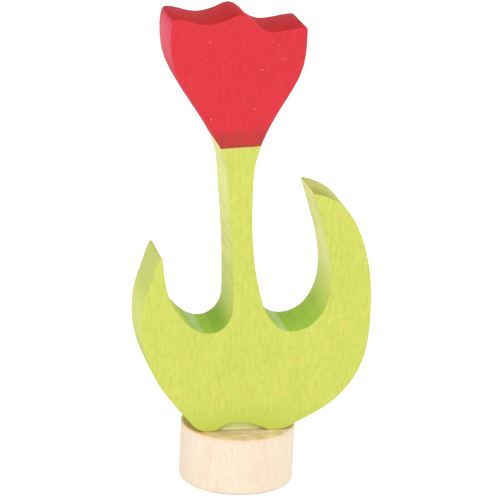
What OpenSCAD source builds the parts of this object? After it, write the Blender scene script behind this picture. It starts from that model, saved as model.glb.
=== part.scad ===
// Wooden tulip on a round plug, for a ring or board with holes to stand it in.
// The flower, stem and leaves are one sawn board, stained in two colours.
// Origin: on the plug's axis, at the face it stands on. +Z is up, -Y is the front.

/* [Plug] */
// Diameter of the turned plug
plug_d = 20; // [18:0.5:26]
// Height of the plug
plug_h = 10.3; // [9.5:0.1:16]
// Edge broken round the foot of the plug
plug_foot_edge = 0.6; // [0.2:0.1:1]
// Edge broken round the top of the plug
plug_top_edge = 0.3; // [0.1:0.1:0.6]

/* [Board] */
// Thickness of the board
board_t = 11; // [9:0.5:13]
// Radius of the leaf tips in the sawn line
tip_r = 0.3; // [0.2:0.05:0.8]
// Height of the stain line above the plug, at the middle of the stem
stain_h = 51.3; // [50:0.1:53]
// Slope of the stain line in degrees
stain_slope = 3; // [-6:0.5:6]

/* [Feet] */
// Reach of the left foot from the plug's axis
left_foot = 5.9; // [5:0.1:6.5]
// Reach of the right foot from the plug's axis
right_foot = 5.3; // [5:0.1:6.5]
// Flat on each foot where it stands on the plug
foot_flat = 1.2; // [1:0.1:2]
// Height of the arch between the feet
arch_h = 1.5; // [1:0.1:2]

/* [Leaves] */
// Reach of the left leaf from the plug's axis
left_reach = 18.6; // [17.5:0.1:20]
// Reach of the right leaf from the plug's axis
right_reach = 21.6; // [20:0.1:24]
// Place of the left leaf's tip, from the plug's axis
left_tip_x = 15.5; // [14.6:0.1:16]
// Height of the left leaf's tip above the plug
left_tip_h = 31.7; // [30.5:0.1:35]
// Place of the right leaf's tip, from the plug's axis
right_tip_x = 10.7; // [9.8:0.1:11.6]
// Height of the right leaf's tip above the plug
right_tip_h = 42.5; // [41:0.1:44]
// Height of the floor of both gaps above the plug
gap_h = 18; // [16:0.1:19]
// Reach of the left gap at its foot, from the plug's axis
left_gap = 12; // [11:0.1:12.6]
// Reach of the right gap, from the plug's axis
right_gap = 14.3; // [13:0.1:15]

/* [Stem] */
// Width of the stem between the two gaps
stem_foot_w = 5.6; // [5:0.1:6.4]
// Width of the stem at its slimmest place
stem_slim_w = 4.2; // [3:0.1:5]
// Height of the slimmest place above the plug
stem_slim_h = 43.7; // [41:0.1:45]
// Lean of the slimmest place to the left of the plug's axis
stem_lean = 2.2; // [0.5:0.1:3]

/* [Flower] */
// Width of the flower
flower_w = 23.3; // [20:0.1:27]
// Distance of the flower's middle to the left of the plug's axis
flower_lean = 3.55; // [2:0.05:5]
// Height of the flower from its neck to its middle crest
flower_h = 25.3; // [22:0.1:30]
// Height of the neck above the plug
neck_h = 48.5; // [47.5:0.1:49.5]
// Width of the neck
neck_w = 5.3; // [4.6:0.1:6]
// Drop of the left petal's tip below the middle crest
left_petal_drop = 0.7; // [0:0.1:1.4]
// Drop of the notch on the left of the middle crest
left_notch_drop = 1.6; // [1.5:0.1:3]
// Drop of the right petal's tip below the middle crest
right_petal_drop = 2.15; // [1:0.05:2.6]
// Drop of the notch on the right of the middle crest
right_notch_drop = 2.9; // [2.7:0.1:4]

/* [Dowel and glue] */
// Diameter of the dowel that joins the board to the plug
dowel_d = 5; // [4:0.5:6]
// Length of the dowel inside the plug
dowel_in_plug = 7.5; // [6:0.5:8]
// Length of the dowel above the plug
dowel_in_board = 10.5; // [8:0.5:14]
// Clearance between the dowel and the wall of its bores
dowel_fit = 0.05; // [0.02:0.01:0.1]
// Space left for glue at each end of the dowel
dowel_end_gap = 0.5; // [0.3:0.1:1]
// Number of grooves along the dowel
dowel_grooves = 12; // [6:1:16]
// Radius of each groove
groove_r = 0.25; // [0.15:0.05:0.3]
// Distance of the glue behind each face of the board
glue_set = 1.2; // [0.8:0.1:2]

/* [Hidden] */
$fn = 96;

leaf_green = [0.83, 0.86, 0.39];
tulip_red = [0.9, 0.24, 0.29];
beech = [0.98, 0.9, 0.81];
dowel_beech = [0.9, 0.78, 0.6];
clear_glue = [0.85, 0.8, 0.55, 0.6];

curve_step = 0.5;       // longest straight piece along a curve of the outline
glue_edge = 0.12;       // height at which the glue ends beside a foot
dowel_bevel = 0.5;      // bevel at each end of the dowel
overcut = 1;            // how far a cutting shape runs past what it cuts

stem_foot_x = 0;        // middle of the stem between the gaps
neck_x = -2.4;          // middle of the neck
dowel_bore_d = dowel_d + 2 * dowel_fit;

// A node of the outline is [sideways, height above the plug, heading in degrees].
// The outline runs clockwise, so the wood is always on the right of its heading.
function turn(heading) = [cos(heading), sin(heading)];
function spot(n) = [n[0], n[1]];

// A rounded tip: it comes in and goes out at the two headings, and touches the apex
function tip(apex, heading_in, heading_out, r) =
    let (middle = (heading_in + heading_out) / 2,
         centre = apex - r * turn(middle + 90))
    [for (h = [heading_in, heading_out])
        let (p = centre + r * turn(h + 90)) [p[0], p[1], h]];

// Angle between two headings, from 0 to 180
function apart(a, b) = acos(max(-1, min(1, turn(a) * turn(b))));

// Handle length that makes a curve between two nodes follow an arc
function handle(chord, off) = chord / (3 * pow(cos(off / 2), 2));

// Points from one node up to the next, along a cubic curve
function stretch(a, b) =
    let (p = spot(a), q = spot(b), chord = norm(q - p),
         along = atan2(q[1] - p[1], q[0] - p[0]),
         c = p + handle(chord, apart(a[2], along)) * turn(a[2]),
         d = q - handle(chord, apart(b[2], along)) * turn(b[2]),
         steps = max(2, ceil(chord / curve_step), ceil(apart(a[2], b[2]) / 18)))
    [for (i = [0:steps - 1]) let (t = i / steps, s = 1 - t)
        s * s * s * p + 3 * s * s * t * c + 3 * s * t * t * d + t * t * t * q];

function curve(nodes, closed = false) =
    [for (i = [0:len(nodes) - (closed ? 1 : 2)])
        each stretch(nodes[i], nodes[(i + 1) % len(nodes)])];

// Places in the flower, as shares of its half width and its height
function in_flower(across, up, heading) =
    [across * flower_w / 2 - flower_lean, neck_h + up * flower_h, heading];
function on_crown(across, drop, heading) =
    [across * flower_w / 2 - flower_lean, neck_h + flower_h - drop, heading];

left_leaf_outside = [
    [-left_foot - foot_flat / 2, 0, 180],
    [-0.56 * left_reach, 0.155 * gap_h, 131],
    [-0.72 * left_reach, 0.35 * gap_h, 129],
    [-left_reach, 1.12 * gap_h, 90],
    [-0.945 * left_reach, 0.83 * left_tip_h, 71]];

left_gap_line = [
    [-left_gap, 1.18 * gap_h, -50],
    [-0.57 * left_gap, gap_h, 0],
    [stem_foot_x - stem_foot_w / 2, 1.25 * gap_h, 90]];

stem_left = [
    [-stem_lean - stem_slim_w / 2, stem_slim_h, 96],
    [neck_x - neck_w / 2, neck_h, 107]];

flower_line = [
    in_flower(-0.54, 0.33, 124),
    in_flower(-0.895, 0.6, 115),
    in_flower(-1, 0.85, 91),
    in_flower(-0.985, 0.93, 78),
    on_crown(-0.915, left_petal_drop, 0),
    on_crown(-0.48, left_notch_drop, 0),
    on_crown(-0.2, 0.55 * left_notch_drop, 22),
    on_crown(0, 0, 0),
    on_crown(0.225, 0.55 * right_notch_drop, -45),
    on_crown(0.49, right_notch_drop, 0),
    on_crown(0.965, right_petal_drop, 0),
    in_flower(1, 0.88, -91),
    in_flower(0.955, 0.64, -106),
    in_flower(0.605, 0.325, -119)];

stem_right = [
    [neck_x + neck_w / 2, neck_h, -101],
    [-stem_lean + stem_slim_w / 2, stem_slim_h, -90],
    [stem_foot_x + 0.27 * stem_foot_w, 1.47 * gap_h, -76]];

right_gap_line = [
    [stem_foot_x + stem_foot_w / 2, 1.23 * gap_h, -68],
    [0.54 * right_gap, gap_h, 0],
    [right_gap, 1.48 * gap_h, 90],
    [0.875 * right_gap, 0.853 * right_tip_h, 108]];

right_leaf_outside = [
    [0.775 * right_reach, 0.927 * right_tip_h, -51],
    [0.95 * right_reach, 0.73 * right_tip_h, -75],
    [right_reach, 1.1 * gap_h, -90],
    [0.835 * right_reach, 0.42 * gap_h, -129],
    [0.675 * right_reach, 0.235 * gap_h, -146],
    [0.44 * right_reach, 0.075 * gap_h, -152],
    [right_foot + foot_flat / 2, 0, 180]];

arch_line = [
    [right_foot - foot_flat / 2, 0, 180],
    [0.5 * right_foot, 0.55 * arch_h, 157],
    [-0.27 * left_foot, arch_h, 180],
    [-0.67 * left_foot, 0.55 * arch_h, 216],
    [-left_foot + foot_flat / 2, 0, 180]];

outline = curve(concat(
    left_leaf_outside, tip([-left_tip_x, left_tip_h], 66, -84, tip_r),
    left_gap_line, stem_left, flower_line, stem_right, right_gap_line,
    tip([right_tip_x, right_tip_h], 108, -13, tip_r),
    right_leaf_outside, arch_line), closed = true);

// The board as the saw leaves it, before its bore is drilled
module sawn_board() {
    translate([0, board_t / 2, plug_h]) rotate([90, 0, 0])
        linear_extrude(board_t) polygon(outline);
}

// Everything above the line where the red stain starts
module above_stain_line() {
    reach = flower_w + flower_h;
    translate([-stem_lean, 0, plug_h + stain_h])
        rotate([0, -stain_slope, 0])
            translate([-reach, -board_t, 0]) cube([2 * reach, 2 * board_t, 2 * reach]);
}

module board_bore() {
    translate([0, 0, plug_h - overcut])
        cylinder(d = dowel_bore_d, h = dowel_in_board + dowel_end_gap + overcut);
}

module tulip_board() {
    color(leaf_green) difference() {
        sawn_board();
        above_stain_line();
        board_bore();
    }
    color(tulip_red) intersection() {
        sawn_board();
        above_stain_line();
    }
}

module plug() {
    r = plug_d / 2;
    color(beech) difference() {
        rotate_extrude() polygon([
            [0, 0], [r - plug_foot_edge, 0], [r, plug_foot_edge],
            [r, plug_h - plug_top_edge], [r - plug_top_edge, plug_h], [0, plug_h]]);
        translate([0, 0, plug_h - dowel_in_plug - dowel_end_gap])
            cylinder(d = dowel_bore_d, h = dowel_in_plug + dowel_end_gap + overcut);
    }
}

module dowel() {
    r = dowel_d / 2;
    length = dowel_in_plug + dowel_in_board;
    color(dowel_beech) translate([0, 0, plug_h - dowel_in_plug]) difference() {
        rotate_extrude() polygon([
            [0, 0], [r - dowel_bevel, 0], [r, dowel_bevel],
            [r, length - dowel_bevel], [r - dowel_bevel, length], [0, length]]);
        for (i = [0:dowel_grooves - 1])
            rotate([0, 0, 360 * i / dowel_grooves])
                translate([r, 0, -overcut])
                    cylinder(r = groove_r, h = length + 2 * overcut, $fn = 16);
    }
}

// Clear glue that fills the arch between the feet, a little behind each face
module glue_bead() {
    depth = board_t - 2 * glue_set;
    under_arch = [for (p = curve(arch_line)) if (p[1] > glue_edge) p];
    ends = [under_arch[0][0], under_arch[len(under_arch) - 1][0]];
    color(clear_glue) difference() {
        translate([0, depth / 2, plug_h]) rotate([90, 0, 0]) linear_extrude(depth)
            polygon(concat([[ends[0], 0]], under_arch, [[ends[1], 0]]));
        translate([0, 0, plug_h - overcut])
            cylinder(d = dowel_bore_d, h = arch_h + 2 * overcut);
    }
}

tulip_board();
plug();
dowel();
glue_bead();
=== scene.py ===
import math
from types import SimpleNamespace
import bmesh
import bpy
from mathutils import Matrix, Vector


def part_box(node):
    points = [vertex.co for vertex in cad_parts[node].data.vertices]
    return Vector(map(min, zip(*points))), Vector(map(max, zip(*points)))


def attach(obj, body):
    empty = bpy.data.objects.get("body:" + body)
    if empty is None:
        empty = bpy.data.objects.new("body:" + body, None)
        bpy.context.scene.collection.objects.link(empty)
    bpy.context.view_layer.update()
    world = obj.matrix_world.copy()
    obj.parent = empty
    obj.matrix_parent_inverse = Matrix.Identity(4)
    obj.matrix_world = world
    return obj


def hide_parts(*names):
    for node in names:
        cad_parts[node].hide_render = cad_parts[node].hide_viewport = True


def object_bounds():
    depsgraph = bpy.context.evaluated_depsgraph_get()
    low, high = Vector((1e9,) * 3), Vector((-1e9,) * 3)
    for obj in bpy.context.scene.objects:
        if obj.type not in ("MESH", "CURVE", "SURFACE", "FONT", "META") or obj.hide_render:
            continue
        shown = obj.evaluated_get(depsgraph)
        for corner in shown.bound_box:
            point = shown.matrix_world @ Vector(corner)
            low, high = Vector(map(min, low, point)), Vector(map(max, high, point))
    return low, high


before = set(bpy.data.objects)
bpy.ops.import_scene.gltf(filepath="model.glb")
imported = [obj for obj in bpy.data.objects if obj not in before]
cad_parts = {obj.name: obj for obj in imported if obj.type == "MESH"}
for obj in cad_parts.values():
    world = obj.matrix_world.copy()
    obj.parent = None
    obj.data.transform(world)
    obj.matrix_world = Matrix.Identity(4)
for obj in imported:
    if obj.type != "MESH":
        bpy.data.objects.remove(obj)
cadLow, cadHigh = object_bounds()

mm = 0.001    # lengths are in metres, except in the finishes, where they are in millimetres
print("frame loaded:", ", ".join(sorted(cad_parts)))


# Modelling helpers

modelling = {
    "mergeReach": 0.002 * mm,      # points nearer than this are one point
    "flatAngle": 0.1,              # degrees between triangles that belong to one flat face
    "straight": 0.99,              # a face faces a direction when its normal reaches this share of it
    "endCorners": 20,              # only the whole end faces have more corners
}


def openPiece(piece):
    # only this piece is selected, and it is in edit mode
    if bpy.context.object and bpy.context.object.mode != "OBJECT":
        bpy.ops.object.mode_set(mode="OBJECT")
    bpy.ops.object.select_all(action="DESELECT")
    piece.select_set(True)
    bpy.context.view_layer.objects.active = piece
    bpy.ops.object.mode_set(mode="EDIT")


def closePiece():
    bpy.ops.object.mode_set(mode="OBJECT")


def copyNode(node, name):
    # a copy of a CAD solid, left in edit mode, with its loose triangles merged into whole faces
    piece = bpy.data.objects.new(name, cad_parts[node].data.copy())
    piece.data.name = name
    piece.data.materials.clear()
    bpy.context.scene.collection.objects.link(piece)
    openPiece(piece)
    bpy.ops.mesh.select_all(action="SELECT")
    bpy.ops.mesh.customdata_custom_splitnormals_clear()
    bpy.ops.mesh.remove_doubles(threshold=modelling["mergeReach"])
    bpy.ops.mesh.dissolve_limited(angle_limit=math.radians(modelling["flatAngle"]))
    return piece


def pick(piece, kind, test):
    # selects the faces, edges or points of a piece in edit mode that pass the test
    bpy.ops.mesh.select_mode(type=kind)
    bpy.ops.mesh.select_all(action="DESELECT")
    mesh = bmesh.from_edit_mesh(piece.data)
    parts = {"FACE": mesh.faces, "EDGE": mesh.edges, "VERT": mesh.verts}[kind]
    for part in parts:
        if test(part):
            part.select_set(True)
    bmesh.update_edit_mesh(piece.data)


def insetEnds(piece, axis, thickness):
    # a narrow ring inside the two end faces across an axis, which keeps them flat when shaded smooth
    pick(piece, "FACE", lambda face: abs(face.normal[axis]) > modelling["straight"]
         and len(face.verts) > modelling["endCorners"])
    bpy.ops.mesh.inset(thickness=thickness)


def smoothPiece(piece, angle):
    closePiece()
    bpy.ops.object.shade_smooth_by_angle(angle=math.radians(angle))


def drillHole(piece, radius, bottom, top, sides):
    # a round hole on the Z axis, cut with a boolean that is applied at once
    closePiece()
    bpy.ops.object.select_all(action="DESELECT")
    bpy.ops.mesh.primitive_cylinder_add(vertices=sides, radius=radius, depth=top - bottom,
                                        location=(0, 0, (top + bottom) / 2))
    drill = bpy.context.object
    cut = piece.modifiers.new("hole", "BOOLEAN")
    cut.object = drill
    cut.operation = "DIFFERENCE"
    cut.solver = "EXACT"
    bpy.ops.object.select_all(action="DESELECT")
    piece.select_set(True)
    bpy.context.view_layer.objects.active = piece
    bpy.ops.object.modifier_apply(modifier="hole")
    bpy.data.objects.remove(drill)
    bpy.ops.object.mode_set(mode="EDIT")


# Material helpers

def paint(red, green, blue):
    # a colour as a screen shows it, 0 to 255, turned into the linear values that shaders use
    def linear(part):
        part = part / 255
        return part / 12.92 if part <= 0.04045 else ((part + 0.055) / 1.055) ** 2.4
    return (linear(red), linear(green), linear(blue), 1)


class Wire:
    # one socket of a shader tree, so that sums on it read as plain Python
    def __init__(self, finish, socket):
        self.finish = finish
        self.socket = socket

    def maths(self, operation, first, second=0.0):
        return self.finish.node("ShaderNodeMath", {"operation": operation}, {0: first, 1: second})

    def __add__(self, other):
        return self.maths("ADD", self, other)

    def __radd__(self, other):
        return self.maths("ADD", other, self)

    def __sub__(self, other):
        return self.maths("SUBTRACT", self, other)

    def __rsub__(self, other):
        return self.maths("SUBTRACT", other, self)

    def __mul__(self, other):
        return self.maths("MULTIPLY", self, other)

    def __rmul__(self, other):
        return self.maths("MULTIPLY", other, self)

    def __abs__(self):
        return self.maths("ABSOLUTE", self)


class Finish:
    # a shader tree and the few ways in which this script adds nodes to it
    def __init__(self, tree):
        self.tree = tree
        self.tree.nodes.clear()

    def node(self, kind, settings, sockets, output=0):
        made = self.tree.nodes.new(kind)
        for name, value in settings.items():
            setattr(made, name, value)
        for key, value in sockets.items():
            self.feed(made.inputs[key], value)
        return Wire(self, made.outputs[output]) if made.outputs else None

    def feed(self, socket, value):
        if isinstance(value, Wire):
            self.tree.links.new(value.socket, socket)
        else:
            socket.default_value = value

    def vectorMaths(self, operation, first, second=(0, 0, 0), output=0):
        return self.node("ShaderNodeVectorMath", {"operation": operation}, {0: first, 1: second}, output)

    def parts(self, vector):
        # the X, Y and Z of a vector
        return [self.node("ShaderNodeSeparateXYZ", {}, {0: vector}, axis) for axis in range(3)]

    def place(self):
        # the place on the piece in millimetres
        spot = self.node("ShaderNodeTexCoord", {}, {}, "Object")
        return self.node("ShaderNodeVectorMath", {"operation": "SCALE"}, {0: spot, "Scale": 1 / mm})

    def facing(self):
        return self.node("ShaderNodeTexCoord", {}, {}, "Normal")

    def noise(self, spot, pitch, detail=2.0, roughness=0.5):
        # pitch is how many waves lie in a millimetre along X, Y and Z
        stretched = self.vectorMaths("MULTIPLY", spot, pitch)
        return self.node("ShaderNodeTexNoise", {},
                         {"Vector": stretched, "Scale": 1.0, "Detail": detail, "Roughness": roughness})

    def specks(self, spot, pitch, size):
        # 1 in small round spots, size in shares of their spacing
        stretched = self.vectorMaths("MULTIPLY", spot, pitch)
        far = self.node("ShaderNodeTexVoronoi", {"feature": "F1"}, {"Vector": stretched, "Scale": 1.0})
        return self.fall(far, (size * 0.5, size))

    def rise(self, value, span):
        # 0 below the span, 1 above it, and smooth within it
        return self.node("ShaderNodeMapRange", {"interpolation_type": "SMOOTHSTEP"},
                         {"Value": value, "From Min": span[0], "From Max": span[1]})

    def fall(self, value, span):
        # 1 below the span, 0 above it, and smooth within it
        return 1 - self.rise(value, span)

    def blend(self, share, first, second):
        # colours are mixed here, because a Math node would turn them grey
        return self.node("ShaderNodeMix", {"data_type": "RGBA"}, {0: share, 6: first, 7: second}, 2)

    def relief(self, height):
        # height in millimetres
        return self.node("ShaderNodeBump", {}, {"Strength": 1.0, "Distance": mm, "Height": height})


def newFinish(name, fixed, varying):
    # fixed values go straight on the shader's sockets; varying(finish) gives what changes over the surface
    material = bpy.data.materials.new(name)
    material.use_nodes = True
    finish = Finish(material.node_tree)
    shader = finish.node("ShaderNodeBsdfPrincipled", {}, fixed)
    for socketName, value in varying(finish).items():
        finish.feed(shader.socket.node.inputs[socketName], value)
    finish.node("ShaderNodeOutputMaterial", {}, {0: shader})
    return material


def dress(piece, material):
    piece.data.materials.clear()
    piece.data.materials.append(material)
    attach(piece, "root")


# Camera, at the photograph's own place and angle

camera = {
    "azimuth": 12.317,                           # degrees to the right that it looks
    "elevation": 17.349,                         # degrees down that it looks
    "roll": 2.385,                               # degrees that its right side is up
    "place": (-97.97 * mm, -452.96 * mm, 186.33 * mm),
    "lens": 202.99,                              # millimetres, as the sensor's width
    "sensor": 36.0,
    "nearest": 10 * mm,                          # nothing nearer than this is drawn
}


def makeCamera():
    bpy.ops.object.camera_add(location=camera["place"])
    lens = bpy.context.object
    lens.name = "photoCamera"
    turn = (Matrix.Rotation(-math.radians(camera["azimuth"]), 3, "Z")
            @ Matrix.Rotation(math.radians(90 - camera["elevation"]), 3, "X")
            @ Matrix.Rotation(math.radians(camera["roll"]), 3, "Z"))
    lens.rotation_euler = turn.to_euler()
    lens.data.sensor_width = camera["sensor"]
    lens.data.lens = camera["lens"]
    lens.data.clip_start = camera["nearest"]
    bpy.context.scene.camera = lens
    print("camera placed")


makeCamera()


# Board: flower, stem and leaves, sawn from one flat piece of limewood

board = {
    "frontShare": 0.9,             # of the largest face, which only the front and the back reach
    "sawDepth": 0.02 * mm,         # how far the saw wandered
    "sawSeed": 7,
    "fineStep": 0.2 * mm,          # outline steps shorter than this belong to the small tips
    "edgeRound": 0.22 * mm,
    "edgeSteps": 3,
    "flatRing": 0.04 * mm,
    "smoothAngle": 34,
    "boreClearance": 0.05 * mm,
    "boreEnd": 0.5 * mm,           # room over the dowel
    "boreBelow": 5 * mm,           # how far the drill starts below the feet
    "boreSides": 48,
}


def makeBoard():
    low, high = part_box("tulip_board")
    dowelLow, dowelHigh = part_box("dowel")
    piece = copyNode("tulip_board", "tulipBoard")

    # only the outline of the front face is kept
    areas = [face.calc_area() for face in bmesh.from_edit_mesh(piece.data).faces]
    frontArea = board["frontShare"] * max(areas)

    def otherFace(face):
        return face.normal.y > -modelling["straight"] or face.calc_area() < frontArea
    pick(piece, "FACE", otherFace)
    bpy.ops.mesh.delete(type="FACE")
    bpy.ops.mesh.select_all(action="SELECT")
    bpy.ops.mesh.delete(type="ONLY_FACE")

    # sawn square through, first as an open band
    bpy.ops.mesh.select_mode(type="EDGE")
    bpy.ops.mesh.select_all(action="SELECT")
    bpy.ops.mesh.extrude_edges_move(TRANSFORM_OT_translate={"value": (0, high.y - low.y, 0)})
    bpy.ops.mesh.select_all(action="SELECT")
    bpy.ops.mesh.normals_make_consistent(inside=False)

    # the saw wandered a little, apart from the feet, the small tips and the outermost points
    margin = 2 * board["sawDepth"]

    def sawWandered(point):
        inside = all(low[axis] + margin < point.co[axis] < high[axis] - margin for axis in (0, 2))
        return inside and min(edge.calc_length() for edge in point.link_edges) > board["fineStep"]
    pick(piece, "VERT", sawWandered)
    bpy.ops.transform.vertex_random(offset=board["sawDepth"], uniform=1.0, normal=0.0,
                                    seed=board["sawSeed"])

    # the front and the back are levelled and closed
    half = (high.y - low.y) / 2
    for side in (low.y, high.y):
        pick(piece, "EDGE", lambda edge: all(abs(point.co.y - side) < half for point in edge.verts))
        bpy.ops.transform.resize(value=(1, 0, 1), center_override=(0, side, 0))
        bpy.ops.mesh.edge_face_add()
    bpy.ops.mesh.select_all(action="SELECT")
    bpy.ops.mesh.normals_make_consistent(inside=False)

    # sanded edges round the front and back faces
    def sandedEdge(edge):
        flats = [abs(face.normal.y) > modelling["straight"] for face in edge.link_faces]
        return any(flats) and not all(flats)
    pick(piece, "EDGE", sandedEdge)
    bpy.ops.mesh.bevel(offset=board["edgeRound"], segments=board["edgeSteps"], affect="EDGES")
    insetEnds(piece, 1, board["flatRing"])

    drillHole(piece, (dowelHigh.x - dowelLow.x) / 2 + board["boreClearance"],
              low.z - board["boreBelow"], dowelHigh.z + board["boreEnd"], board["boreSides"])
    smoothPiece(piece, board["smoothAngle"])
    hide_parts("tulip_board")
    print("board modelled:", len(piece.data.polygons), "faces")
    return piece


stain = {
    # the red edge, with its place in millimetres in the middle of the front face
    "lineHeight": 61.37,
    "lineMiddle": (-2.1, -5.5),
    "lineSlope": math.tan(math.radians(3)),         # up to the right
    "lineTilt": math.tan(math.radians(4.5)),        # up to the back

    # millimetres above the red edge between which each change happens
    "greenToRed": (-0.05, 0.05),
    "darkEdge": (0.22, 0.42),
    "paleGap": (-0.36, -0.2),
    "paleGapSide": (-3.0, -0.2),
    "overlapEnd": (2.6, 4.4),

    # places on the board, in millimetres, between which each change happens
    "footHeight": (10.5, 17.0),
    # where the painted shade low in the gaps fades out
    "gapShadeHeight": (28.0, 41.0),
    "gapShadeLeft": (-15.0, -13.0),
    "gapShadeRight": (15.0, 17.0),
    "floorHeight": (33.0, 42.0),
    # where the painted shade in the corner by the stem fades
    "stemCornerShade": (-1.0, 1.0),
    "stemMiddle": -2.0,
    "stemReach": (3.4, 4.6),
    "stemMarkHeight": (44.0, 54.0),
    "sideHeight": (30.0, 64.0),
    "frontDepth": (-5.5, -2.5),
    "frontHeight": (34.0, 44.0),
    "leftLeaf": (-15.5, -13.5),
    "leftTipHeight": (33.0, 41.0),
    "rightLeaf": (8.0, 10.0),
    "rightPaleHeight": (36.0, 45.0),
    "frontTipHeight": (48.0, 51.5),
    "frontTipDepth": (-4.0, 1.0),
    "frontTipRight": (12.0, 15.5),
    "flowerHeight": (66.0, 77.0),
    "flowerBack": (-3.0, 6.0),

    # waves in a millimetre along X, Y and Z
    "cloudPitch": (0.2, 0.2, 0.09),
    "grainPitch": (2.2, 2.2, 0.42),
    "porePitch": (7.0, 7.0, 0.7),
    "sawPitch": (1.9, 0.05, 1.9),
    "teethPitch": (5.0, 0.25, 5.0),
    "mottlePitch": (1.1, 1.1, 0.8),
    "warmPitch": (0.9, 0.9, 0.5),
    "fleckPitch": (0.5, 0.5, 0.5),
    "fleckSize": 0.06,             # share of their spacing
    "blotchPitch": (1.4, 0.6, 1.1),
    "overlapPitch": (0.3, 0.3, 0.4),

    "green": paint(225, 231, 106),
    "greenDeep": paint(200, 212, 82),
    "greenWarm": paint(234, 218, 104),
    "greenFleck": paint(176, 180, 76),
    "greenFoot": paint(198, 216, 76),
    # sides: the pale colour holds a painted sheen, the low one painted shade and green bounce light
    "greenSideSheen": paint(254, 255, 158),
    "greenSideLowShaded": paint(224, 232, 110),
    "greenSideMark": paint(204, 214, 100),
    # painted shade and green bounce light low in the gaps, partly deeper stain
    "greenGapShade": paint(186, 206, 88),
    "greenPaleAndLit": paint(255, 255, 186),
    "greenTipStainAndShade": paint(200, 208, 100),
    "greenFloor": paint(170, 208, 78),
    "greenFloorDark": paint(136, 178, 56),
    "greenFloorSheen": paint(196, 212, 134),
    "greenTop": paint(206, 212, 116),
    "greenTopDark": paint(168, 176, 72),
    "greenWorn": paint(238, 238, 160),
    "red": paint(232, 44, 62),
    "redDeep": paint(222, 26, 44),
    "redFleck": paint(255, 190, 180),
    "redSide": paint(244, 44, 80),
    "redSideMark": paint(222, 30, 60),
    # pale side colour: blotches of stain and a painted sheen
    "redSidePaleAndSheen": paint(254, 104, 140),
    "redTop": paint(206, 4, 16),
    "redTopDark": paint(180, 6, 12),
    "redTopBack": paint(190, 26, 42),
    "redWorn": paint(246, 120, 118),
    "overlap": paint(194, 50, 44),
    "edgeLine": paint(170, 70, 6),
    "edgeGap": paint(238, 203, 118),
    "edgeGapSide": paint(255, 255, 178),
}


def readBoard(finish):
    # all that the stains and the painted light and shade depend on: the place, the way it faces, and the
    # patterns of the wood and the saw
    wood = SimpleNamespace(spot=finish.place())
    wood.x, wood.y, wood.z = finish.parts(wood.spot)
    wood.facingX, facingY, wood.facingZ = finish.parts(finish.facing())
    flat = abs(facingY)
    wood.sawn = finish.fall(flat, (0.3, 0.8))
    wood.onFace = 1 - wood.sawn
    wood.endGrain = finish.rise(abs(wood.facingZ), (0.02, 0.85)) * wood.sawn
    wood.onFloor = finish.fall(wood.z, stain["floorHeight"])
    # the band of the gap floors that faces up to the right: glossier, and given a painted sheen
    wood.brushed = (finish.rise(wood.facingX, (0.1, 0.25)) * finish.fall(wood.facingX, (0.5, 0.68))
                    * wood.onFloor)

    wood.cloud = finish.rise(finish.noise(wood.spot, stain["cloudPitch"], 3.0), (0.3, 0.7))
    wood.grain = finish.noise(wood.spot, stain["grainPitch"], 4.0, 0.65)
    wood.pores = finish.noise(wood.spot, stain["porePitch"])
    wood.saw = finish.noise(wood.spot, stain["sawPitch"], 1.0, 0.4)
    wood.teeth = finish.noise(wood.spot, stain["teethPitch"], 1.0)
    wood.mottle = finish.noise(wood.spot, stain["mottlePitch"], 3.0, 0.6)
    wood.patches = finish.rise(wood.mottle, (0.35, 0.7))
    wood.streak = finish.rise(wood.grain, (0.38, 0.64))
    wood.marks = finish.rise(wood.saw * 0.65 + wood.teeth * 0.35, (0.4, 0.62))
    wood.flecks = finish.specks(wood.spot, stain["fleckPitch"], stain["fleckSize"])

    onEdge = finish.rise(flat, (0.1, 0.5)) * finish.fall(flat, (0.75, 0.98))
    wood.worn = onEdge * finish.rise(wood.mottle, (0.4, 0.65))
    return wood


def greenFace(finish, wood):
    # front and back of stem and leaves, deeper towards the feet
    deep = (wood.streak * 0.4 + wood.cloud * 0.2 + wood.patches * 0.25
            + finish.rise(wood.pores, (0.58, 0.72)) * 0.25)
    colour = finish.blend(deep, stain["green"], stain["greenDeep"])
    warm = finish.rise(finish.noise(wood.spot, stain["warmPitch"]), (0.5, 0.68))
    colour = finish.blend(warm * 0.28, colour, stain["greenWarm"])
    colour = finish.blend(wood.flecks * 0.6, colour, stain["greenFleck"])
    return finish.blend(finish.fall(wood.z, stain["footHeight"]) * 0.6, colour, stain["greenFoot"])


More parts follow.
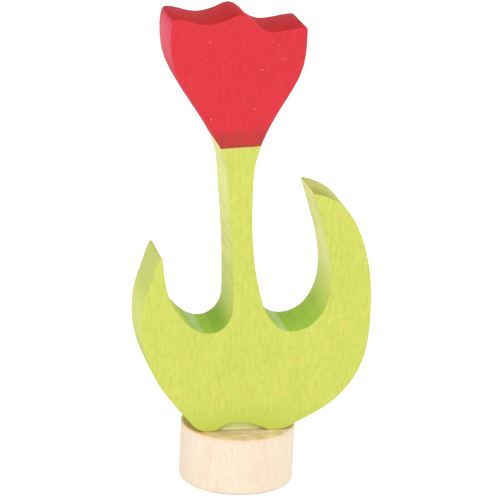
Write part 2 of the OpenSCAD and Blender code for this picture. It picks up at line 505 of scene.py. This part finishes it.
def greenSideSheen(finish, wood, face):
    # sawn sides, paler the higher they are and paler than the faces: partly a lighter stain, partly painted
    # shade and green bounce light low down and a painted white sheen higher up; they show the marks of the
    # saw
    upwards = finish.rise(wood.z, stain["sideHeight"])
    colour = finish.blend(upwards, stain["greenSideLowShaded"], stain["greenSideSheen"])
    # the right leaf's inner side, high up, is paler: partly paler wood, partly painted light and sheen
    rightPaleAndLit = finish.rise(wood.x, stain["rightLeaf"]) * finish.rise(wood.z, stain["rightPaleHeight"])
    colour = finish.blend(rightPaleAndLit, colour, stain["greenPaleAndLit"])
    # the left leaf's outer side is darker towards its tip: partly end-grain stain, partly painted shade
    # where it turns upward, away from the lamps
    leftTipStainAndShade = finish.fall(wood.x, stain["leftLeaf"]) * finish.rise(wood.z, stain["leftTipHeight"])
    colour = finish.blend(leftTipStainAndShade * 0.8, colour, stain["greenTipStainAndShade"])
    # darker green low on the sides within the gaps: painted shade and green bounce light, partly deeper
    # stain
    gapShade = (finish.fall(wood.z, stain["gapShadeHeight"]) * finish.rise(wood.x, stain["gapShadeLeft"])
            * finish.fall(wood.x, stain["gapShadeRight"]))
    colour = finish.blend(gapShade * 0.8, colour, stain["greenGapShade"])
    onStem = finish.fall(abs(wood.x - stain["stemMiddle"]), stain["stemReach"])
    stemMarks = onStem * (0.46 - 0.34 * finish.rise(wood.z, stain["stemMarkHeight"]))
    marked = wood.marks * (0.22 + 0.5 * wood.endGrain + stemMarks)
    colour = finish.blend(marked, colour, stain["greenSideMark"])
    # the painted sheen is kept off the front edge, high up, where the side takes the face's colour
    nearFront = finish.fall(wood.y, stain["frontDepth"]) * finish.rise(wood.z, stain["frontHeight"])
    return finish.blend(nearFront * 0.6, colour, face)


def greenFloor(finish, wood):
    # round floors of the two gaps, where the stain ran together; painted light where they face right,
    # painted shade in the corner by the stem, and a painted sheen in streaks on the glossier band that faces
    # up to the right
    colour = finish.blend(wood.marks * 0.45, stain["greenFloor"], stain["greenFloorDark"])
    # painted light where the floor faces right
    colour = finish.blend(finish.rise(wood.facingX, (0.5, 0.8)) * 0.8, colour, stain["green"])
    # painted shade in the corner by the stem
    corner = finish.fall(wood.facingX, (-0.6, 0.0)) * finish.fall(wood.x, stain["stemCornerShade"])
    colour = finish.blend(corner * 0.7, colour, stain["greenFloorDark"])
    # painted sheen in streaks
    paintedSheen = wood.brushed * finish.rise(wood.teeth, (0.42, 0.6))
    return finish.blend(paintedSheen, colour, stain["greenFloorSheen"])


def greenTop(finish, wood):
    # upper ends of the leaves, darker at the front of the right tip
    frontTipDark = (finish.rise(wood.z, stain["frontTipHeight"]) * finish.fall(wood.y, stain["frontTipDepth"])
            * finish.fall(wood.x, stain["frontTipRight"]))
    return finish.blend(finish.rise(wood.mottle, (0.42, 0.66)) * 0.4 + frontTipDark * 0.7,
                        stain["greenTop"], stain["greenTopDark"])


def greenStain(finish, wood):
    face = greenFace(finish, wood)
    ends = finish.blend(wood.onFloor, greenTop(finish, wood), greenFloor(finish, wood))
    sides = finish.blend(wood.endGrain, greenSideSheen(finish, wood, face), ends)
    return finish.blend(wood.worn * 0.15, finish.blend(wood.sawn, face, sides), stain["greenWorn"])


def redStain(finish, wood):
    # the flower: even on its faces; blotchy, pinker and paler on its sides, which paints their sheen; dark
    # on top, with painted shade near the front edge and painted light where the top faces right
    face = finish.blend(wood.streak * 0.25 + wood.cloud * 0.25 + wood.patches * 0.4,
                        stain["red"], stain["redDeep"])
    face = finish.blend(wood.flecks, face, stain["redFleck"])

    # the sides: partly blotchy stain, partly a painted sheen that is strongest towards the bottom
    side = finish.blend(wood.marks * 0.4 + wood.streak * 0.3, stain["redSide"], stain["redSideMark"])
    blotch = finish.rise(finish.noise(wood.spot, stain["blotchPitch"], 4.0, 0.7), (0.4, 0.64))
    side = finish.blend(blotch * 0.3 + finish.fall(wood.z, stain["flowerHeight"]) * 0.5,
                        side, stain["redSidePaleAndSheen"])

    top = finish.blend(finish.rise(wood.mottle * 0.5 + wood.teeth * 0.5, (0.4, 0.62)),
                       stain["redTop"], stain["redTopDark"])
    # painted shade near the front edge of the top, lighter towards the back
    top = finish.blend(finish.rise(wood.y, stain["flowerBack"]), top, stain["redTopBack"])
    # painted light where the top faces right
    top = finish.blend(finish.rise(wood.facingX, (0.3, 0.6)) * 0.9, top, stain["red"])

    colour = finish.blend(wood.sawn, face, finish.blend(wood.endGrain, side, top))
    return finish.blend(wood.worn * finish.fall(wood.facingZ, (0.1, 0.3)) * 0.4, colour, stain["redWorn"])


def stainedWood(finish):
    wood = readBoard(finish)
    green = greenStain(finish, wood)
    red = redStain(finish, wood)

    # the red was dipped over the green, down to an edge that the grain makes a little uneven
    wobble = (wood.grain - 0.5) * 0.2 + (wood.mottle - 0.5) * 0.15
    above = (wood.z - stain["lineHeight"] - (wood.x - stain["lineMiddle"][0]) * stain["lineSlope"]
             - (wood.y - stain["lineMiddle"][1]) * stain["lineTilt"] + wobble)
    patch = finish.rise(finish.noise(wood.spot, stain["overlapPitch"]), (0.36, 0.6))
    overlap = finish.fall(above + wood.mottle * 1.6, stain["overlapEnd"]) * (0.35 + patch * 0.65)
    red = finish.blend(overlap * (1 - 0.6 * wood.sawn), red, stain["overlap"])
    darkEdge = finish.fall(above, stain["darkEdge"])
    red = finish.blend(darkEdge * (1 - 0.5 * wood.sawn), red, stain["edgeLine"])
    gap = finish.rise(above, stain["paleGap"]) * finish.rise(wood.mottle, (0.25, 0.45)) * wood.onFace
    green = finish.blend(gap * 0.85, green, stain["edgeGap"])
    gapSide = finish.rise(above, stain["paleGapSide"]) * wood.sawn
    green = finish.blend(gapSide * 0.9, green, stain["edgeGapSide"])

    height = ((wood.grain * 0.014 + wood.pores * 0.01) * wood.onFace
              + (wood.saw * 0.05 + wood.teeth * 0.025) * wood.sawn)
    return {
        "Base Color": finish.blend(finish.rise(above, stain["greenToRed"]), green, red),
        "Roughness": 0.46 + wood.mottle * 0.08 + wood.endGrain * 0.46 - wood.brushed * 0.4,
        "Normal": finish.relief(height),
    }


tulipBoard = makeBoard()
dress(tulipBoard, newFinish("stainedLimewood", {"Specular IOR Level": 0.45}, stainedWood))


# Plug: turned beech, with glue wiped over its top

plug = {
    "sides": 160,
    "footRound": 0.6 * mm,
    "topRound": 0.3 * mm,
    "roundSteps": 5,
    "rimReach": 0.01 * mm,         # an edge this near to an end's height belongs to its rim
    "flatRing": 0.2 * mm,
    "smoothAngle": 40,
    "boreClearance": 0.05 * mm,
    "boreEnd": 0.5 * mm,           # room under the dowel
    "boreAbove": 1 * mm,           # how far the drill starts above the top
    "boreSides": 48,
}


def makePlug():
    low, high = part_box("plug")
    dowelLow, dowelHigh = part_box("dowel")
    bpy.ops.object.select_all(action="DESELECT")
    bpy.ops.mesh.primitive_cylinder_add(vertices=plug["sides"], radius=high.x, depth=high.z - low.z,
                                        location=(0, 0, (low.z + high.z) / 2))
    bpy.ops.object.transform_apply(location=True, rotation=True, scale=True)
    piece = bpy.context.object
    piece.name = "plugTurned"
    openPiece(piece)

    for height, edgeRound in ((low.z, plug["footRound"]), (high.z, plug["topRound"])):
        pick(piece, "EDGE", lambda edge: all(abs(point.co.z - height) < plug["rimReach"]
                                             for point in edge.verts))
        bpy.ops.mesh.bevel(offset=edgeRound, segments=plug["roundSteps"], affect="EDGES")
    insetEnds(piece, 2, plug["flatRing"])
    drillHole(piece, (dowelHigh.x - dowelLow.x) / 2 + plug["boreClearance"],
              dowelLow.z - plug["boreEnd"], high.z + plug["boreAbove"], plug["boreSides"])
    smoothPiece(piece, plug["smoothAngle"])
    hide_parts("plug")
    print("plug modelled:", len(piece.data.polygons), "faces")
    return piece


beech = {
    # places on the plug, in millimetres, between which each change happens
    # where the painted shade under the board's foot ends
    "footShadeLeft": (-6.5, -4.0),
    "footShadeFront": (-9.0, -6.0),
    # where the painted glint on the top lies and fades
    "plugGlintMiddle": (-0.3, -7.7),
    "plugGlintLong": (0.6, 1.6),
    "plugGlintWide": (0.15, 0.5),
    "rimHeight": (10.02, 10.18),
    "rimRadius": (9.6, 9.75),
    "rimStainHeight": (9.3, 10.15),

    # waves in a millimetre along X, Y and Z
    "cloudPitch": (0.25, 0.25, 0.12),
    "linePitch": (2.6, 2.6, 0.15),
    "rayPitch": (5.5, 5.5, 0.55),
    "endPitch": (2.5, 2.5, 2.5),
    "wipedPitch": (0.35, 0.35, 0.35),

    "pink": paint(255, 232, 213),
    "cream": paint(255, 243, 221),
    "fleck": paint(246, 204, 166),
    "topTan": paint(255, 229, 198),
    "topDark": paint(230, 200, 154),
    # colour of the painted shade under the board's foot
    "topFootShade": paint(240, 190, 118),
    "topShine": paint(255, 240, 226),
    "rimLine": paint(238, 186, 118),
    "rimStain": paint(255, 224, 176),
}


def turnedBeech(finish):
    spot = finish.place()
    x, y, z = finish.parts(spot)
    facingZ = finish.parts(finish.facing())[2]
    across = finish.vectorMaths("MULTIPLY", spot, (1, 1, 0))
    radius = finish.vectorMaths("LENGTH", across, output="Value")

    # side, with the short flecks that beech shows along its grain
    cloud = finish.rise(finish.noise(spot, beech["cloudPitch"], 3.0), (0.32, 0.68))
    lines = finish.noise(spot, beech["linePitch"], 3.0, 0.6)
    rays = finish.noise(spot, beech["rayPitch"])
    side = finish.blend(cloud * 0.7 + finish.rise(lines, (0.4, 0.65)) * 0.3, beech["cream"], beech["pink"])
    side = finish.blend(finish.rise(rays, (0.53, 0.68)) * 0.42 + finish.rise(lines, (0.58, 0.72)) * 0.25,
                        side, beech["fleck"])

    # top, wet with glue, with painted shade and green bounce light at the left under the board's foot and a
    # painted glint in front of the arch
    top = finish.rise(facingZ, (0.75, 0.97))
    endSpeck = finish.noise(spot, beech["endPitch"], 3.0, 0.6)
    wiped = finish.noise(spot, beech["wipedPitch"])
    topColour = finish.blend(finish.rise(endSpeck * 0.35 + wiped * 0.65, (0.36, 0.6)),
                             beech["topTan"], beech["topDark"])
    # painted shade and green bounce light at the left of the top, under the board's foot, with a ragged edge
    footShade = finish.fall(x + wiped * 3.0, beech["footShadeLeft"]) * finish.rise(y, beech["footShadeFront"])
    topColour = finish.blend(footShade * 0.85, topColour, beech["topFootShade"])
    # a painted glint on the top in front of the arch
    plugGlint = (finish.fall(abs(x - beech["plugGlintMiddle"][0]), beech["plugGlintLong"])
              * finish.fall(abs(y - beech["plugGlintMiddle"][1]), beech["plugGlintWide"]))
    topColour = finish.blend(plugGlint * 0.7, topColour, beech["topShine"])
    colour = finish.blend(top, side, topColour)

    # rim, where the glue soaked in
    soaked = finish.rise(z, beech["rimStainHeight"]) * (1 - top)
    colour = finish.blend(soaked * 0.55, colour, beech["rimStain"])
    rim = finish.rise(z, beech["rimHeight"]) * finish.rise(radius, beech["rimRadius"])
    colour = finish.blend(rim * finish.rise(wiped * 0.5 + endSpeck * 0.5, (0.4, 0.6)) * 0.7,
                          colour, beech["rimLine"])
    return {
        "Base Color": colour,
        "Roughness": 0.6 - top * 0.25,
        "Coat Weight": top * 0.25,
        "Normal": finish.relief(lines * 0.015 + rays * 0.015 * (1 - top) + wiped * 0.1 * top),
    }


plugTurned = makePlug()
dress(plugTurned, newFinish("turnedBeech", {"Specular IOR Level": 0.3, "Coat Roughness": 0.12}, turnedBeech))


# Dowel: the CAD solid has its grooves and stays

dowelColours = {"pale": paint(222, 186, 134), "dark": paint(188, 144, 92)}


def dowelWood(finish):
    spot = finish.place()
    lines = finish.noise(spot, (3.0, 3.0, 0.2), 3.0, 0.6)
    pores = finish.noise(spot, (9.0, 9.0, 0.8))
    return {
        "Base Color": finish.blend(finish.rise(lines * 0.6 + pores * 0.4, (0.4, 0.62)),
                                   dowelColours["pale"], dowelColours["dark"]),
        "Roughness": 0.55 + pores * 0.2,
        "Normal": finish.relief(lines * 0.03 + pores * 0.02),
    }


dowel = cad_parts["dowel"]
dowel.data.materials[0] = newFinish("dowelWood", {"Specular IOR Level": 0.3}, dowelWood)
print("dowel dressed")


# Glue: fills the arch between the two feet and runs out in a fillet over the plug

glue = {
    # how far the fillet has run out, and how much of its height is left, step by step
    "fillet": [(0.06 * mm, 0.9), (0.16 * mm, 0.62), (0.34 * mm, 0.3), (0.68 * mm, 0.06)],
    "smoothAngle": 60,
    # height of each painted highlight line in millimetres, and how far from it the highlight fades
    "highlightLines": [(11.32, (0.06, 0.16)), (10.55, (0.06, 0.14))],
    # heights over which the painted contact shade at the glue's foot fades
    "footHeight": (10.4, 10.48),
    "cloudPitch": (0.8, 0.8, 2.0),
    "body": paint(238, 240, 148),
    "highlight": paint(255, 250, 184),
    "foot": paint(196, 184, 112),
}


def makeGlue():
    piece = copyNode("glue_bead", "glueBead")
    low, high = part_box("glue_bead")
    middle = (low + high) / 2
    for direction in (-1, 1):
        pick(piece, "FACE", lambda face: face.normal.y * direction > modelling["straight"])
        reach, left = 0, 1
        for nextReach, nextLeft in glue["fillet"]:
            bpy.ops.mesh.extrude_region_move(
                TRANSFORM_OT_translate={"value": (0, direction * (nextReach - reach), 0)})
            bpy.ops.transform.resize(value=(1, 1, nextLeft / left), center_override=(middle.x, 0, low.z))
            reach, left = nextReach, nextLeft
    smoothPiece(piece, glue["smoothAngle"])
    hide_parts("glue_bead")
    print("glue modelled:", len(piece.data.polygons), "faces")
    return piece


def clearGlue(finish):
    spot = finish.place()
    z = finish.parts(spot)[2]
    cloud = finish.noise(spot, glue["cloudPitch"])
    # painted highlight lines across the glue
    highlight = sum(finish.fall(abs(z - height), reach) for height, reach in glue["highlightLines"])
    colour = finish.blend(highlight * 0.8, glue["body"], glue["highlight"])
    return {
        # painted contact shade: darker at the glue's foot
        "Base Color": finish.blend(finish.fall(z, glue["footHeight"]), colour, glue["foot"]),
        "Roughness": 0.08 + cloud * 0.1,
        "Normal": finish.relief(cloud * 0.05),
    }


glueBead = makeGlue()
dress(glueBead, newFinish("clearGlue", {"Transmission Weight": 0.08, "IOR": 1.48}, clearGlue))


# Studio: pale floor, soft lamps, white background

studio = {
    "floorSize": 4.0,              # metres
    "floorDrop": 0.01 * mm,        # keeps the floor clear of the plug's foot
    "floorColour": (0.92, 0.92, 0.92, 1),
    "floorLift": 0.37,             # how much whiter the camera sees the floor
    "ambient": 0.69,
}
# angles in degrees, distances and sizes in metres, power in watts
lamps = [
    {"name": "keyLamp", "azimuth": -48, "elevation": 22, "distance": 0.9, "size": 0.7, "power": 2.0},
    {"name": "frontLamp", "azimuth": 0, "elevation": 12, "distance": 1.0, "size": 0.8, "power": 0.6},
    {"name": "rightLamp", "azimuth": 70, "elevation": 28, "distance": 0.9, "size": 0.7, "power": 1.7},
    {"name": "rearLamp", "azimuth": 170, "elevation": 35, "distance": 1.1, "size": 0.7, "power": 1.6},
]


def makeFloor():
    bpy.ops.object.select_all(action="DESELECT")
    bpy.ops.mesh.primitive_plane_add(size=studio["floorSize"], location=(0, 0, -studio["floorDrop"]))
    floor = bpy.context.object
    floor.name = "floor"
    material = bpy.data.materials.new("paleFloor")
    material.use_nodes = True
    finish = Finish(material.node_tree)
    seen = finish.node("ShaderNodeLightPath", {}, {}, "Is Camera Ray")
    surface = finish.node("ShaderNodeBsdfDiffuse", {}, {"Color": studio["floorColour"]})
    lift = finish.node("ShaderNodeEmission", {}, {"Strength": seen * studio["floorLift"]})
    both = finish.node("ShaderNodeAddShader", {}, {0: surface, 1: lift})
    finish.node("ShaderNodeOutputMaterial", {}, {0: both})
    floor.data.materials.append(material)


def makeWorld():
    # full white for the camera, reflections and glass, and less light on the object
    world = bpy.data.worlds.new("studioWorld")
    world.use_nodes = True
    bpy.context.scene.world = world
    finish = Finish(world.node_tree)
    white = 0.0
    for ray in ("Is Camera Ray", "Is Glossy Ray", "Is Transmission Ray"):
        seen = finish.node("ShaderNodeLightPath", {}, {}, ray)
        white = finish.node("ShaderNodeMath", {"operation": "MAXIMUM"}, {0: white, 1: seen})
    strength = studio["ambient"] + white * (1 - studio["ambient"])
    sky = finish.node("ShaderNodeBackground", {}, {"Color": (1, 1, 1, 1), "Strength": strength})
    finish.node("ShaderNodeOutputWorld", {}, {0: sky})


def makeLamps():
    middle = (cadLow + cadHigh) / 2
    for lamp in lamps:
        turn, lift = math.radians(lamp["azimuth"]), math.radians(lamp["elevation"])
        away = Vector((math.sin(turn) * math.cos(lift), -math.cos(turn) * math.cos(lift), math.sin(lift)))
        bpy.ops.object.light_add(type="AREA", location=middle + away * lamp["distance"])
        light = bpy.context.object
        light.name = lamp["name"]
        light.rotation_euler = away.to_track_quat("Z", "Y").to_euler()
        light.data.size = lamp["size"]
        light.data.energy = lamp["power"]


makeFloor()
makeWorld()
makeLamps()
bpy.context.scene.view_settings.view_transform = "Standard"
print("studio ready")
